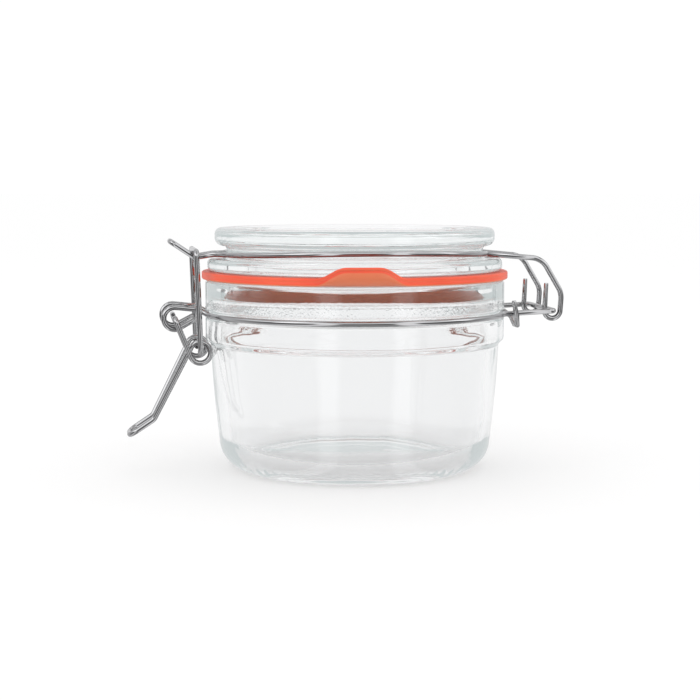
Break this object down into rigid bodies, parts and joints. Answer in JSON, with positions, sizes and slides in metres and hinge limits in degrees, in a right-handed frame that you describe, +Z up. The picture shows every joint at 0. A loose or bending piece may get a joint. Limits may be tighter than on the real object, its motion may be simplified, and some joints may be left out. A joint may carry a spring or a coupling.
{
  "type": "bail-top preserving jar",
  "caption": "Small clear glass preserving jar with a hinged glass lid, an orange-red rubber ring with a pull tab, and a wire bail closure.",
  "frame": {"origin": "centre of the flat base, on the axis of the glass jar", "axes": "+Z up along the jar's axis, +X towards the lid's hinge, so the lever and bail are on the -X side"},
  "size_m": [0.1126, 0.0842, 0.0624],
  "materials": {
    "clear_glass": "fire polished, very slightly green at the edges",
    "red_rubber": "satin, moulded",
    "bright_wire": "bright drawn wire"
  },
  "bodies": {
    "jar": {"glass_jar": "clear_glass", "neck_band": "bright_wire", "hinge_tie": "bright_wire"},
    "lid": {"glass_lid": "clear_glass", "rubber_seal": "red_rubber", "lid_wire": "bright_wire"},
    "lever": {"lever": "bright_wire"},
    "bail": {"bail_link": "bright_wire"}
  },
  "joints": [
    {"name": "lid_hinge", "type": "hinge", "parent": "jar", "child": "lid", "pos_m": [0.0503, 0, 0.041], "axis": [0, 1, 0], "range_deg": [0, 112]},
    {"name": "lever_pivot", "type": "hinge", "parent": "jar", "child": "lever", "pos_m": [-0.0469, 0, 0.0398], "axis": [0, 1, 0], "range_deg": [0, 140]},
    {"name": "bail_pivot", "type": "hinge", "parent": "lever", "child": "bail", "pos_m": [-0.0407, 0, 0.0312], "axis": [0, 1, 0], "range_deg": [-126, 0]}
  ],
  "couplings": [
    {"joint": "lever_pivot", "follows": "lid_hinge", "ratio": 1.25},
    {"joint": "bail_pivot", "follows": "lid_hinge", "ratio": -1.125}
  ]
}
